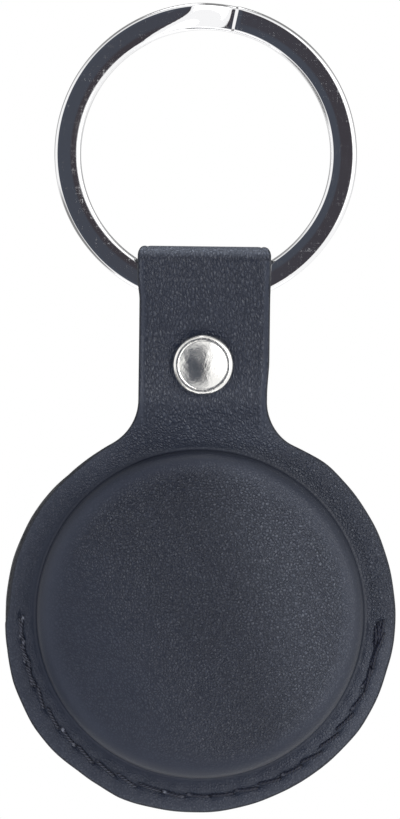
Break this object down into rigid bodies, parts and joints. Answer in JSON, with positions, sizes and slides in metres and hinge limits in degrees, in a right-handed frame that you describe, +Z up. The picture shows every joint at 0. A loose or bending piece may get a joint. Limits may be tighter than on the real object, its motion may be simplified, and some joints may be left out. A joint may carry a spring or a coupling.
{
  "type": "tracker tag holder",
  "caption": "Leather holder for a round tracker tag: a moulded pouch with a snap-closed back, hanging by a folded strap from a split key ring.",
  "frame": {"origin": "centre of the split ring's eye, in the ring's middle plane", "axes": "+Z up with the pouch hanging below the ring, -Y out of the domed front, +X to the right seen from the front"},
  "size_m": [0.0412, 0.0129, 0.0856],
  "materials": {
    "leather": "pebbled, dark navy",
    "lining": "napped microfibre",
    "thread": "twisted polyester",
    "ring_steel": "polished nickel plate",
    "snap_plate": "polished nickel plate",
    "spring_steel": "bright wire"
  },
  "bodies": {
    "key_ring": {"split_ring": "ring_steel"},
    "pouch": {"front_panel": "leather", "front_lining": "lining", "back_panel": "leather", "back_lining": "lining", "needle_thread": "thread", "bobbin_thread": "thread", "snap_cap": "snap_plate", "snap_socket": "snap_plate", "snap_spring": "spring_steel"},
    "flap": {"back_flap": "leather", "flap_lining": "lining", "snap_stud": "snap_plate", "snap_post": "snap_plate"}
  },
  "joints": [
    {"name": "pouch_swing", "type": "hinge", "parent": "key_ring", "child": "pouch", "pos_m": [0, 0, -0.01355], "axis": [-1, 0, 0], "range_deg": [-110, 110]},
    {"name": "flap_open", "type": "hinge", "parent": "pouch", "child": "flap", "pos_m": [0, 0.00155, -0.04795], "axis": [-1, 0, 0], "range_deg": [0, 45]}
  ]
}
